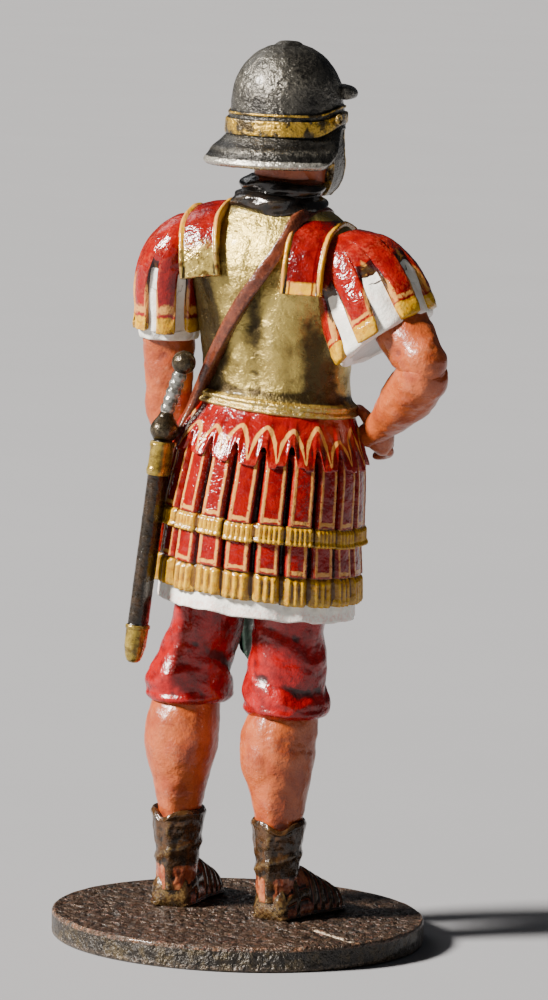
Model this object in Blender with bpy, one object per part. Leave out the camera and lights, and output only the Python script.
"""Painted metal miniature of a Roman officer standing on a round base.

The figure faces -Y and its left side is +X. The origin is the centre of the base's underside.
"""
import math

import bmesh
import bpy
from mathutils import Matrix, Vector

# Driving sizes in metres
FIGURE_HEIGHT = 0.062
BASE_DIAMETER = 0.0265
BASE_THICKNESS = 0.0018
BASE_EDGE_ROUND = 0.00025
SLAB_JOINT_WIDTH = 0.0005
SLAB_JOINT_DEPTH = 0.00025
SEAT_GAP = 0.0003
SCABBARD_LENGTH = 0.0158
SCABBARD_WIDTH = 0.0021
SCABBARD_THICKNESS = 0.0013
CHAPE_LENGTH = 0.0028
LOCKET_LENGTH = 0.0023
GUARD_LENGTH = 0.0021
GUARD_WIDTH = 0.0024
GRIP_LENGTH = 0.0030
GRIP_DIAMETER = 0.0010
POMMEL_DIAMETER = 0.0017
HIP_CLEARANCE = 0.00035

# The figure's pose, proportions and carving are shares of its height, counted in sixty-second parts
UNIT = FIGURE_HEIGHT / 62
SOLE_HEIGHT = BASE_THICKNESS + SEAT_GAP

# The hips and belt drop towards the figure's right, and the slope fades out below the neck
HIP_SLOPE = 0.0787
HIP_PIVOT_X = -1.1
SLOPE_FULL_HEIGHT = 46.0
SLOPE_END_HEIGHT = 50.0

# Body rows: height, centre x, centre y, half width, half depth
BODY_ROWS = (
    (21.8, -0.50, -0.20, 7.15, 5.90),
    (28.0, -0.70, -0.25, 6.75, 5.60),
    (32.0, -1.00, -0.45, 6.45, 5.30),
    (34.2, -1.10, -0.60, 6.05, 4.95),
    (36.2, -1.25, -0.95, 5.55, 4.40),
    (38.0, -1.20, -0.95, 5.35, 4.20),
    (40.0, -1.20, -0.70, 5.45, 4.25),
    (42.5, -1.15, -0.40, 5.75, 4.35),
    (45.0, -1.10, -0.15, 6.10, 4.35),
    (47.0, -1.10, -0.15, 6.20, 4.10),
    (48.5, -1.10, -0.25, 5.70, 3.60),
    (49.6, -1.10, -0.40, 4.40, 3.00),
    (50.4, -1.10, -0.45, 3.00, 2.50),
)

# Skirt rows: height, how proud of the body, depth of the grooves between the strips
SKIRT_ROWS = (
    (21.8, 0.00, 0.00),
    (22.9, 0.05, 0.00),
    (22.95, 0.50, 0.42),
    (25.0, 0.40, 0.40),
    (27.0, 0.25, 0.35),
    (27.15, 0.80, 0.30),
    (28.4, 0.75, 0.30),
    (28.6, 0.45, 0.45),
    (32.2, 0.35, 0.45),
    (33.2, 0.42, 0.12),
    (35.9, 0.12, 0.00),
    (36.4, -0.80, 0.00),
)
SKIRT_STRIPS = 21
STRIP_EDGE = 0.16

CUIRASS_POINTS = 32
CUIRASS_RIM = 0.28

# Sword belt on the back: height and angle round the body in degrees
BALDRIC_ROWS = (
    (33.3, 31), (35.4, 31), (37.6, 40), (40.5, 63), (43.4, 82), (45.7, 96), (48.1, 109), (49.5, 121),
)

# The sword's mouth sits off the end of the belt at the left hip
BALDRIC_END_PROUD = 0.93
BALDRIC_THICKNESS = 0.38
SWORD_HIP_ANGLE = math.radians(40)
SWORD_HIP_HEIGHT = 33.0
SWORD_LEAN_OUT = math.radians(5.0)
SWORD_LEAN_BACK = math.radians(3.4)
GRIP_LEAN = math.radians(-12)

HEAD_CENTRE = (-1.56, -0.57)
HEAD_TURN = math.radians(-14)


def mix(a, b, t):
    """Blend from a to b."""
    return a + (b - a) * t


def smooth(t):
    """Ease between 0 and 1."""
    t = min(max(t, 0.0), 1.0)
    return t * t * (3 - 2 * t)


def bump(value, centre, width):
    """Bell curve of height 1."""
    return math.exp(-((value - centre) / width) ** 2)


def read_rows(rows, height):
    """Values of a table of rows at a height, blended between its rows."""
    if height <= rows[0][0]:
        return rows[0][1:]
    for low, high in zip(rows, rows[1:]):
        if height <= high[0]:
            t = (height - low[0]) / (high[0] - low[0])
            return tuple(mix(a, b, t) for a, b in zip(low[1:], high[1:]))
    return rows[-1][1:]


def sloped(point):
    """Tilt a point of the trunk with the hips."""
    x, y, z = point
    fade = 1 - smooth((z - SLOPE_FULL_HEIGHT) / (SLOPE_END_HEIGHT - SLOPE_FULL_HEIGHT))
    return Vector((x, y, z + HIP_SLOPE * (x - HIP_PIVOT_X) * fade))


def make_solid(name, rings):
    """Closed mesh through rings of points with the same count, capped at both ends."""
    bm = bmesh.new()
    loops = [[bm.verts.new(point) for point in ring] for ring in rings]
    count = len(loops[0])
    for low, high in zip(loops, loops[1:]):
        for i in range(count):
            j = (i + 1) % count
            bm.faces.new((low[i], low[j], high[j], high[i]))
    bm.faces.new(loops[0][::-1])
    bm.faces.new(loops[-1])
    bmesh.ops.triangulate(bm, faces=[f for f in bm.faces if len(f.verts) > 4])
    bmesh.ops.recalc_face_normals(bm, faces=bm.faces)
    if bm.calc_volume(signed=True) < 0:
        bmesh.ops.reverse_faces(bm, faces=bm.faces)
    mesh = bpy.data.meshes.new(name)
    bm.to_mesh(mesh)
    bm.free()
    obj = bpy.data.objects.new(name, mesh)
    bpy.context.scene.collection.objects.link(obj)
    return obj


def oval(centre, half_width, half_depth, count, side=Vector((1, 0, 0)), front=Vector((0, -1, 0))):
    """Ring of points on an oval."""
    points = []
    for i in range(count):
        angle = 2 * math.pi * i / count
        across = side * (half_width * math.cos(angle))
        along = front * (half_depth * math.sin(angle))
        points.append(Vector(centre) + across + along)
    return points


def limb(name, stations, count, front=Vector((0, -1, 0)), wave=None, axis=None):
    """Limb through stations of (x, y, z, half width, half depth), square to its path or to one axis."""
    centres = [Vector(s[:3]) for s in stations]
    rings = []
    for i, station in enumerate(stations):
        before = centres[max(i - 1, 0)]
        after = centres[min(i + 1, len(centres) - 1)]
        along = (axis or after - before).normalized()
        side = along.cross(front).normalized()
        forward = side.cross(along).normalized()
        ring = oval(centres[i], station[3], station[4], count, side, forward)
        if wave is not None:
            ring = [centres[i] + (p - centres[i]) * wave(i, k / count) for k, p in enumerate(ring)]
        rings.append(ring)
    return make_solid(name, rings)


def body_point(angle, height, proud=0.0):
    """Point on the trunk; angle 0 is the figure's left and a quarter turn is its back."""
    cx, cy, half_width, half_depth = read_rows(BODY_ROWS, height)
    return Vector((
        cx + (half_width + proud) * math.cos(angle),
        cy + (half_depth + proud) * math.sin(angle),
        height,
    ))


def skirt():
    """Tunic hem, two tiers of fringed strips and the apron above them."""
    rings = []
    for height, proud, groove in SKIRT_ROWS:
        ring = []
        for i in range(SKIRT_STRIPS):
            for part, depth in ((0.0, groove), (STRIP_EDGE, 0.0), (1 - STRIP_EDGE, 0.0)):
                angle = 2 * math.pi * (i + part) / SKIRT_STRIPS
                ring.append(sloped(body_point(angle, height, proud - depth)))
        rings.append(ring)
    return make_solid("skirt form", rings)


def muscle(angle, height):
    """Relief of the muscled cuirass."""
    front = angle + math.pi / 2
    front = math.atan2(math.sin(front), math.cos(front))
    relief = 0.55 * bump(abs(front), 0.42, 0.30) * bump(height, 45.2, 1.7)
    relief -= 0.22 * bump(front, 0.0, 0.12) * bump(height, 42.5, 4.0)
    relief += 0.16 * bump(abs(front), 0.22, 0.14) * (bump(height, 41.8, 0.8) + bump(height, 39.6, 0.8))
    back = math.pi - abs(front)
    relief -= 0.22 * bump(back, 0.0, 0.16) * bump(height, 41.5, 4.5)
    relief += 0.20 * bump(back, 0.55, 0.28) * bump(height, 46.0, 2.0)
    return relief


def cuirass():
    """Breast and back plate with its rolled lower rim."""
    heights = (35.55, 36.0, 36.45, 36.6, 38.0, 39.6, 41.0, 42.5, 44.0, 45.4, 46.8, 48.0, 48.9, 49.6, 50.3)
    rims = {35.55: -0.9, 36.0: CUIRASS_RIM, 36.45: CUIRASS_RIM}
    rings = []
    for height in heights:
        rim = rims.get(height, 0.0)
        ring = []
        for i in range(CUIRASS_POINTS):
            angle = 2 * math.pi * i / CUIRASS_POINTS
            proud = rim + muscle(angle, height)
            ring.append(sloped(body_point(angle, height, proud)))
        rings.append(ring)
    return make_solid("cuirass form", rings)


def ribbon(name, path, half_width, thickness, lip=0.0, lip_width=0.3):
    """Flat strap along a path of (point, outward) pairs, with raised edges if lip is over 0."""
    rings = []
    for i, (point, outward) in enumerate(path):
        before = path[max(i - 1, 0)][0]
        after = path[min(i + 1, len(path) - 1)][0]
        along = (after - before).normalized()
        out = (outward - along * outward.dot(along)).normalized()
        side = along.cross(out)
        inner = half_width - lip_width
        profile = (
            (-half_width, -thickness), (-half_width, thickness + lip), (-inner, thickness + lip),
            (-inner * 0.96, thickness), (inner * 0.96, thickness), (inner, thickness + lip),
            (half_width, thickness + lip), (half_width, -thickness),
        )
        rings.append([point + side * a + out * b for a, b in profile])
    return make_solid(name, rings)


def shoulder_strap(name, x_back, x_top, x_front, back_height, top_height, front_height):
    """Plate over one shoulder, from the upper back to the chest."""
    _, cy, _, _ = read_rows(BODY_ROWS, 47.0)
    back_y = 4.05
    front_y = -4.25
    points = (
        (x_back, back_y + 0.25, back_height),
        (mix(x_back, x_top, 0.4), back_y - 0.15, mix(back_height, top_height, 0.45)),
        (mix(x_back, x_top, 0.8), back_y - 1.2, mix(back_height, top_height, 0.82)),
        (x_top, cy + 0.7, top_height), (x_top, cy - 0.8, top_height),
        (mix(x_front, x_top, 0.8), front_y + 1.3, mix(front_height, top_height, 0.82)),
        (mix(x_front, x_top, 0.4), front_y + 0.2, mix(front_height, top_height, 0.45)),
        (x_front, front_y - 0.15, front_height),
    )
    outs = (
        (0, 1, 0.1), (0, 1, 0.35), (0, 0.8, 0.8), (0, 0.3, 1),
        (0, -0.3, 1), (0, -0.8, 0.8), (0, -1, 0.35), (0, -1, 0.1),
    )
    path = [(Vector(p), Vector(o)) for p, o in zip(points, outs)]
    return ribbon(name, path, 1.75, 0.35, lip=0.14, lip_width=0.36)


def baldric():
    """Sword belt from the right shoulder across the back to the left hip."""
    path = [
        (Vector((-5.2, -1.6, 50.0)), Vector((-0.3, -0.4, 1))),
        (Vector((-4.9, 0.4, 50.4)), Vector((-0.2, 0.4, 1))),
    ]
    for height, degrees in BALDRIC_ROWS[::-1]:
        angle = math.radians(degrees)
        flat = mix(BALDRIC_END_PROUD - BALDRIC_THICKNESS, 0.3, smooth((height - 33) / 4))
        point = sloped(body_point(angle, height, flat))
        centre = sloped(body_point(angle, height, -2.0))
        path.append((point, point - centre))
    return ribbon("baldric form", path, 0.62, BALDRIC_THICKNESS)


def sleeve(name, stations, strips, depth, axis=None):
    """Short sleeve under a fan of strips."""
    count = strips * 3

    def wave(row, turn):
        groove = abs((turn * strips + 0.5) % 1.0 - 0.5) < 0.01
        return 1.0 - depth * smooth(row / 2) if groove and row < len(stations) - 1 else 1.0
    return limb(name, stations, count, wave=wave, axis=axis)


def boot(name, heel, toe, ankle):
    """Laced boot: sole, foot and short shaft."""
    heel = Vector(heel)
    toe = Vector(toe)
    along = (toe - heel).normalized()
    side = Vector((-along.y, along.x, 0))
    length = (toe - heel).length
    rows = (
        (0.00, 1.00, 1.5), (0.06, 1.35, 2.6), (0.22, 1.48, 3.3), (0.40, 1.45, 3.4), (0.52, 1.55, 3.05),
        (0.64, 1.72, 2.60), (0.78, 1.80, 2.10), (0.90, 1.55, 1.60), (0.97, 1.10, 1.20), (1.00, 0.60, 0.80),
    )
    rings = []
    for share, half_width, high in rows:
        centre = heel + along * (length * share)
        ring = []
        for across, up in ((-0.92, 0), (-1.05, 0.12), (-1.0, 0.45), (-0.72, 0.82), (-0.3, 1.0),
                           (0.3, 1.0), (0.72, 0.82), (1.0, 0.45), (1.05, 0.12), (0.92, 0)):
            ring.append(centre + side * (across * half_width) + Vector((0, 0, up * high)))
        rings.append(ring)
    foot = make_solid(name + " foot", rings)
    ankle = Vector(ankle)
    shaft = limb(name + " shaft", (
        (ankle.x, ankle.y, 1.2, 1.30, 1.50),
        (ankle.x, ankle.y, 2.6, 1.40, 1.60),
        (ankle.x, ankle.y + 0.05, 4.4, 1.58, 1.72),
        (ankle.x, ankle.y + 0.10, 5.6, 1.70, 1.85),
        (ankle.x, ankle.y + 0.10, 6.6, 1.88, 2.02),
        (ankle.x, ankle.y + 0.10, 7.1, 1.82, 1.95),
    ), 14)
    return [foot, shaft]


def head_frame(point):
    """From the head's own frame to figure units."""
    turned = Matrix.Rotation(HEAD_TURN, 3, "Z") @ Vector((point[0], point[1], 0))
    return Vector((turned.x + HEAD_CENTRE[0], turned.y + HEAD_CENTRE[1], point[2]))


def face():
    """Head below the helmet with a plain face."""
    rows = (
        (50.6, 1.3, 1.35, -1.95), (51.1, 1.85, 2.0, -1.75), (51.8, 2.25, 2.5, -1.4),
        (52.6, 2.55, 2.85, -1.1), (53.4, 2.75, 3.05, -0.95), (54.3, 2.85, 3.15, -0.85),
        (55.2, 2.95, 3.2, -0.75), (56.2, 3.0, 3.25, -0.6), (57.5, 2.9, 3.2, -0.3),
    )
    count = 24
    rings = []
    for height, half_width, half_depth, cy in rows:
        ring = []
        for i in range(count):
            angle = 2 * math.pi * i / count
            front = math.atan2(math.sin(angle + math.pi / 2), math.cos(angle + math.pi / 2))
            nose = 0.85 * bump(front, 0, 0.16) * smooth((55.9 - height) / 2.0) * smooth((height - 52.9) / 0.5)
            eyes = -0.28 * bump(abs(front), 0.40, 0.20) * bump(height, 55.2, 0.55)
            mouth = 0.20 * bump(front, 0, 0.32) * bump(height, 52.6, 0.45)
            chin = 0.30 * bump(front, 0, 0.30) * bump(height, 51.2, 0.45)
            grow = nose + eyes + mouth + chin
            x = (half_width + grow) * math.cos(angle)
            y = cy + (half_depth + grow) * math.sin(angle)
            ring.append(head_frame((x, y, height)))
        rings.append(ring)
    return make_solid("face form", rings)


def helmet():
    """Iron bowl with brass bands, sloping neck guard, brow bar, top knob and cheek pieces."""
    count = 28
    # Rows: height at the front, height at the back, radius at the front, radius at the back
    rows = (
        (56.2, 54.6, 3.30, 3.00), (55.9, 53.0, 4.00, 5.35), (55.95, 53.35, 4.12, 5.45),
        (56.2, 54.4, 4.10, 4.65), (56.4, 55.2, 4.10, 4.12), (56.6, 55.5, 4.20, 4.22),
        (57.1, 56.3, 4.22, 4.22), (57.3, 56.5, 4.02, 4.00), (58.2, 57.8, 3.98, 3.98),
        (59.2, 59.0, 3.62, 3.62), (60.1, 60.0, 2.95, 2.95), (60.8, 60.7, 2.05, 2.05),
        (61.15, 61.1, 1.15, 1.15), (61.55, 61.55, 0.85, 0.85), (61.9, 61.9, 0.45, 0.45),
    )
    rings = []
    for front_height, back_height, front_radius, back_radius in rows:
        ring = []
        for i in range(count):
            angle = 2 * math.pi * i / count
            share = smooth(math.sin(angle) * 1.25 + 0.35)
            radius = mix(front_radius, back_radius, share)
            height = mix(front_height, back_height, share)
            x = radius * math.cos(angle)
            y = 0.15 + radius * 1.04 * math.sin(angle)
            ring.append(head_frame((x, y, height)))
        rings.append(ring)
    bowl = make_solid("helmet form", rings)
    brow = []
    steps = 9
    for i in range(steps):
        angle = math.radians(mix(-158, -22, i / (steps - 1)))
        grow = math.sin(math.pi * i / (steps - 1)) ** 0.5
        ring = []
        for radial, height in ((3.7, 57.15), (4.25 + 0.75 * grow, 57.2), (4.35 + 0.85 * grow, 57.75),
                               (4.1 + 0.6 * grow, 58.05), (3.7, 58.15)):
            ring.append(head_frame((radial * math.cos(angle), 0.1 + radial * math.sin(angle), height)))
        brow.append(ring)
    parts = [bowl, make_solid("brow bar", brow)]
    # Cheek piece rows: height, back edge, front edge, how proud of the jaw
    cheek_rows = (
        (56.6, -0.8, -3.2, 0.2), (55.2, -0.7, -2.9, 0.25), (53.9, -0.8, -3.1, 0.3),
        (52.7, -1.1, -3.6, 0.35), (51.6, -1.6, -3.7, 0.3), (50.9, -2.2, -3.4, 0.1),
    )
    jaw_rows = ((50.6, 1.5), (51.8, 2.3), (53.4, 2.8), (56.2, 3.1))
    for name, mirror in (("left cheek piece", 1), ("right cheek piece", -1)):
        rings = []
        for height, near, far, out in cheek_rows:
            ring = []
            half_width = read_rows(jaw_rows, height)[0]
            middle = mix(near, far, 0.5)
            for y, sink in ((near, -0.6), (near, out), (middle, out + 0.12), (far, out), (far, -0.6)):
                width = half_width * math.sqrt(1 - (y / 5.2) ** 2)
                ring.append(head_frame((mirror * (width + sink), y, height)))
            rings.append(ring)
        parts.append(make_solid(name, rings))
    rib = []
    for i in range(7):
        angle = math.radians(mix(12, 78, i / 6))
        rib_radius = 4.05
        ring = []
        for across, up in ((-0.28, -0.3), (-0.2, 0.16), (0.2, 0.16), (0.28, -0.3)):
            reach = (rib_radius + up) * math.cos(angle)
            rise = 57.6 + (3.6 + up) * math.sin(angle)
            ring.append(head_frame((across, 0.1 - reach, rise)))
        rib.append(ring)
    parts.append(make_solid("helmet rib", rib))
    return parts


def scarf():
    """Neck with the two rolls of the scarf around it."""
    rows = (
        (-1.15, -0.42, 49.3, 2.50), (-1.15, -0.42, 49.9, 3.15), (-1.17, -0.43, 50.4, 3.40),
        (-1.20, -0.45, 50.9, 3.15), (-1.28, -0.47, 51.15, 2.72), (-1.38, -0.50, 51.5, 2.92),
        (-1.42, -0.50, 51.9, 2.78), (-1.45, -0.50, 52.2, 2.30), (-1.48, -0.50, 53.7, 2.25),
    )
    return [limb("scarf form", [(*row, row[3] * 0.97) for row in rows], 20)]


def arms():
    """Left arm bent across the belly, right hand set on the hip."""
    parts = [limb("left upper arm", (
        (6.6, 0.0, 45.0, 1.75, 1.9), (6.8, -0.3, 41.0, 1.75, 1.85), (6.8, -0.7, 37.5, 1.65, 1.75),
        (6.95, -1.1, 34.9, 1.5, 1.6), (6.9, -1.5, 33.8, 1.1, 1.2)), 14)]
    parts.append(limb("left forearm", (
        (7.0, -1.2, 34.6, 1.35, 1.45), (6.3, -3.2, 34.7, 1.5, 1.55), (4.9, -5.2, 35.0, 1.4, 1.4),
        (3.2, -6.7, 35.3, 1.1, 1.1), (1.9, -7.4, 35.4, 0.95, 1.15), (0.4, -7.9, 35.4, 1.0, 1.45),
        (-0.6, -8.0, 35.3, 0.7, 1.1)), 14, front=Vector((0, 0, 1))))
    parts.append(limb("right upper arm", (
        (-7.6, 0.0, 46.0, 1.9, 1.9), (-9.9, 1.1, 43.7, 1.9, 1.9), (-12.0, 2.1, 41.6, 1.85, 1.85),
        (-13.4, 2.75, 40.0, 1.65, 1.7), (-14.0, 3.05, 39.2, 1.15, 1.2)), 14))
    parts.append(limb("right forearm", (
        (-13.8, 3.1, 40.0, 1.35, 1.45), (-13.0, 2.2, 38.8, 1.75, 1.8), (-11.4, 0.6, 37.3, 1.75, 1.75),
        (-9.8, -0.8, 35.9, 1.35, 1.4), (-8.6, -1.8, 34.7, 1.05, 1.15), (-8.0, -2.4, 34.2, 1.1, 1.3)), 14))

    def knuckles(row, turn):
        return 1.0 - 0.16 * (0.5 + 0.5 * math.cos(2 * math.pi * 8 * turn)) * (1 if row else 0)
    parts.append(limb("right hand", (
        (-7.6, -1.9, 34.6, 0.95, 0.8), (-8.65, -2.35, 34.1, 1.25, 0.9), (-8.85, -3.2, 33.7, 1.25, 0.85),
        (-8.4, -4.0, 33.5, 1.05, 0.7), (-7.7, -4.3, 33.5, 0.6, 0.4)), 16,
        front=Vector((-1, 0, 0)), wave=knuckles))
    return parts


def cloak():
    """Folded cloak hanging from the left forearm in front."""
    rows = ((36.9, 3.2, 1.4), (36.2, 3.9, 2.2), (34.5, 4.0, 2.0), (31.5, 3.7, 1.5), (28.0, 3.5, 1.25),
            (24.5, 3.3, 1.2), (21.0, 3.0, 1.2), (18.5, 2.8, 1.15), (16.6, 2.6, 1.0))
    rings = []
    folds = 4
    for row, (height, half_width, thick) in enumerate(rows):
        centre_x = mix(1.6, 0.45, row / (len(rows) - 1))
        back = -6.9 if height < 33 else -6.2
        ring = []
        for i in range(20):
            angle = 2 * math.pi * i / 20
            x = centre_x + half_width * math.cos(angle)
            y = back - 0.5 * thick + 0.62 * thick * math.sin(angle)
            if math.sin(angle) < 0:
                y += 0.28 * math.sin(folds * math.pi * (x - centre_x) / half_width + 0.4 * row)
            z = height + (0.28 * (x - centre_x) if height < 19 else 0.05 * (x - centre_x))
            ring.append(Vector((x, y, z)))
        rings.append(ring)
    return make_solid("cloak form", rings)


def legs():
    """Both legs in breeches."""
    left = ((2.0, -0.5, 26.0, 2.9, 3.0), (2.9, -0.6, 22.0, 2.65, 2.8), (3.3, -0.6, 20.0, 2.6, 2.75),
            (4.0, -0.7, 18.2, 2.75, 2.8), (4.5, -0.7, 16.4, 3.05, 3.0), (4.55, -0.6, 15.2, 3.05, 3.0),
            (4.6, -0.6, 14.7, 2.85, 2.8), (4.65, -0.6, 14.65, 2.45, 2.45), (4.85, -0.5, 12.8, 2.65, 2.7),
            (4.9, -0.5, 11.0, 2.6, 2.7), (4.9, -0.6, 8.6, 1.95, 2.05), (5.0, -0.8, 6.0, 1.45, 1.6),
            (5.05, -0.9, 3.0, 1.3, 1.5))
    right = ((-3.0, -0.3, 26.0, 2.9, 3.0), (-3.15, -0.1, 22.0, 2.6, 2.8), (-3.15, 0.0, 20.0, 2.5, 2.75),
             (-3.1, 0.0, 18.2, 2.75, 2.8), (-3.05, 0.0, 16.4, 2.9, 2.95), (-3.05, 0.0, 14.9, 3.0, 3.0),
             (-3.05, 0.0, 14.3, 2.85, 2.8), (-3.0, 0.0, 14.25, 2.45, 2.5), (-2.7, 0.2, 12.6, 2.65, 2.7),
             (-2.65, 0.2, 11.0, 2.7, 2.75), (-2.85, 0.2, 8.8, 2.1, 2.2), (-2.95, 0.3, 6.0, 1.55, 1.7),
             (-3.0, 0.3, 3.0, 1.35, 1.55))
    return [limb("left leg", left[::-1], 18), limb("right leg", right[::-1], 18)]


def figure_parts():
    """Every form that the single casting is made of."""
    parts = [skirt(), cuirass(), *scarf(), baldric(), cloak(), face()]
    parts += helmet() + arms() + legs()
    parts.append(shoulder_strap("left strap", 2.75, 3.55, 3.3, 45.2, 50.35, 45.4))
    parts.append(shoulder_strap("right strap", -4.75, -4.85, -4.8, 44.4, 49.95, 45.0))
    parts.append(sleeve("left sleeve", (
        (4.3, -0.1, 47.9, 1.4, 2.2), (5.4, -0.1, 47.3, 1.85, 2.9), (6.3, -0.1, 46.0, 2.15, 3.1),
        (6.65, -0.15, 44.2, 2.3, 2.9), (6.7, -0.2, 42.0, 2.15, 2.6), (6.75, -0.3, 41.2, 2.2, 2.55),
        (6.75, -0.3, 40.2, 2.0, 2.25)), 10, 0.12))
    parts.append(sleeve("right sleeve", (
        (-5.6, 0.0, 47.7, 1.9, 2.2), (-6.9, 0.2, 46.6, 3.0, 3.0), (-8.2, 0.5, 44.9, 3.6, 3.3),
        (-9.0, 0.8, 43.5, 3.85, 3.4), (-9.6, 1.0, 42.3, 3.85, 3.35), (-10.05, 1.1, 41.4, 3.65, 3.2)),
        11, 0.10, Vector((-0.57, 0.1, -0.815))))
    parts += boot("left boot", (5.05, 0.55, 0), (5.40, -7.25, 0), (5.05, -0.85, 0))
    parts += boot("right boot", (-2.85, 1.75, 0), (-4.90, -5.85, 0), (-3.0, 0.35, 0))
    return parts


def material(name, colour, roughness, metallic=0.0):
    """Plain painted finish."""
    mat = bpy.data.materials.new(name)
    mat.use_nodes = True
    shader = mat.node_tree.nodes["Principled BSDF"]
    shader.inputs["Base Color"].default_value = (*colour, 1)
    shader.inputs["Roughness"].default_value = roughness
    shader.inputs["Metallic"].default_value = metallic
    return mat


def unite(name, parts, mat):
    """One solid object from overlapping forms."""
    for part in parts:
        part.scale = (UNIT, UNIT, UNIT)
        part.location = (0, 0, SOLE_HEIGHT)
    body = parts[0]
    body.name = name
    body.data.name = name
    body.data.materials.append(mat)
    for part in parts[1:]:
        union = body.modifiers.new(part.name, "BOOLEAN")
        union.operation = "UNION"
        union.solver = "EXACT"
        union.object = part
        hide(part)
    flatten = body.modifiers.new("flat faces joined", "DECIMATE")
    flatten.decimate_type = "DISSOLVE"
    flatten.angle_limit = math.radians(2.0)
    return body


def seat_matrix():
    """From figure units above the sole to metres above the ground."""
    return Matrix.Translation((0, 0, SOLE_HEIGHT)) @ Matrix.Scale(UNIT, 4)


def hide(helper):
    """Keep a helper out of the model."""
    helper.hide_render = True
    helper.display_type = "WIRE"


def base():
    """Round plinth with slab joints cut in its top."""
    radius = BASE_DIAMETER / 2
    count = 72
    rows = (
        (0.0, radius - BASE_EDGE_ROUND), (BASE_EDGE_ROUND, radius),
        (BASE_THICKNESS - BASE_EDGE_ROUND, radius), (BASE_THICKNESS, radius - BASE_EDGE_ROUND),
    )
    rings = [oval((0, 0, z), r, r, count) for z, r in rows]
    plinth = make_solid("base", rings)
    plinth.data.materials.append(material("stone grey paint", (0.09, 0.075, 0.065), 0.7))
    # Joints: a point on each, its direction, and its length as shares of the radius
    joints = (
        (0.10, 0.55, 160, 2.6), (0.10, -0.35, 168, 2.6), (-0.38, 0.10, 65, 0.95),
        (0.45, 0.12, 75, 0.88), (-0.05, 0.85, 62, 0.55), (0.10, -0.75, 80, 0.8),
    )
    section = ((0.2, -1), (2, 1), (-2, 1), (-0.2, -1))
    for i, (x, y, turn, length) in enumerate(joints):
        half = SLAB_JOINT_WIDTH / 2
        reach = length * radius / 2
        depth = SLAB_JOINT_DEPTH * (1 - 0.06 * i)
        rings = []
        for end in (-reach, reach):
            rings.append([Vector((end, across * half, up * depth)) for across, up in section])
        cutter = make_solid("slab joint %d" % (i + 1), rings)
        cutter.location = (x * radius, y * radius, BASE_THICKNESS)
        cutter.rotation_euler = (0, 0, math.radians(turn))
        hide(cutter)
        cut = plinth.modifiers.new(cutter.name, "BOOLEAN")
        cut.operation = "DIFFERENCE"
        cut.solver = "EXACT"
        cut.object = cutter
    return plinth


def sword():
    """Sheathed short sword, upright, then leaned and moved to the left hip."""
    up = Vector((0, 0, 1))
    front = Vector((0, -1, 0))
    thin = SCABBARD_THICKNESS / 2
    wide = SCABBARD_WIDTH / 2
    tip = -SCABBARD_LENGTH
    chape = tip + CHAPE_LENGTH
    locket = -LOCKET_LENGTH
    rows = (
        (tip, 0.35, 0.35), (tip + 0.2 * CHAPE_LENGTH, 0.8, 0.75), (chape - 0.0001, 1.08, 1.05),
        (chape, 0.95, 0.92), (locket - 0.0001, 1.0, 1.0), (locket, 1.14, 1.12), (0.0, 1.14, 1.12),
    )
    rings = [oval((0, 0, z), thin * a, wide * b, 12) for z, a, b in rows]
    for share, a in ((0.15, 0.8), (0.45, 1.0), (0.8, 0.85), (1.0, 0.45)):
        half = GUARD_WIDTH / 2 * a
        rings.append(oval((0, 0, GUARD_LENGTH * share), half * 0.85, half, 12))
    top = Vector((0, 0, GUARD_LENGTH))
    axis = Matrix.Rotation(GRIP_LEAN, 3, "Y") @ up
    side = Matrix.Rotation(GRIP_LEAN, 3, "Y") @ Vector((1, 0, 0))
    grip = GRIP_DIAMETER / 2
    ribs = 5
    for i in range(ribs * 2 + 1):
        swell = 1.0 if i % 2 else 0.84
        centre = top + axis * (GRIP_LENGTH * i / (ribs * 2))
        rings.append(oval(centre, grip * swell, grip * swell, 12, side, front))
    ball = POMMEL_DIAMETER / 2
    middle = top + axis * (GRIP_LENGTH + ball * 0.85)
    for step in range(1, 6):
        turn = math.pi * step / 6 - math.pi / 2
        round_half = ball * math.cos(turn)
        rings.append(oval(middle + axis * (ball * math.sin(turn)), round_half, round_half, 12, side, front))
    piece = make_solid("sword", rings)
    piece.data.materials.append(material("scabbard paint", (0.10, 0.07, 0.05), 0.4, 0.3))
    hip = seat_matrix() @ sloped(body_point(SWORD_HIP_ANGLE, SWORD_HIP_HEIGHT, BALDRIC_END_PROUD))
    outward = Vector((math.cos(SWORD_HIP_ANGLE), math.sin(SWORD_HIP_ANGLE), 0))
    reach = 1.14 * math.hypot(thin * outward.x, wide * outward.y) + HIP_CLEARANCE
    piece.location = hip + outward * reach
    piece.rotation_euler = (SWORD_LEAN_BACK, -SWORD_LEAN_OUT, 0)
    return piece


def smooth_shade(obj):
    """Soft shading with sharp creases kept."""
    obj.data.shade_smooth()
    obj.data.set_sharp_from_angle(angle=math.radians(40))


def build():
    """Clear the scene and make the three pieces."""
    for obj in list(bpy.data.objects):
        bpy.data.objects.remove(obj, do_unlink=True)
    figure = unite("figure", figure_parts(), material("painted figure", (0.42, 0.06, 0.04), 0.4))
    for obj in (figure, sword(), base()):
        smooth_shade(obj)


build()
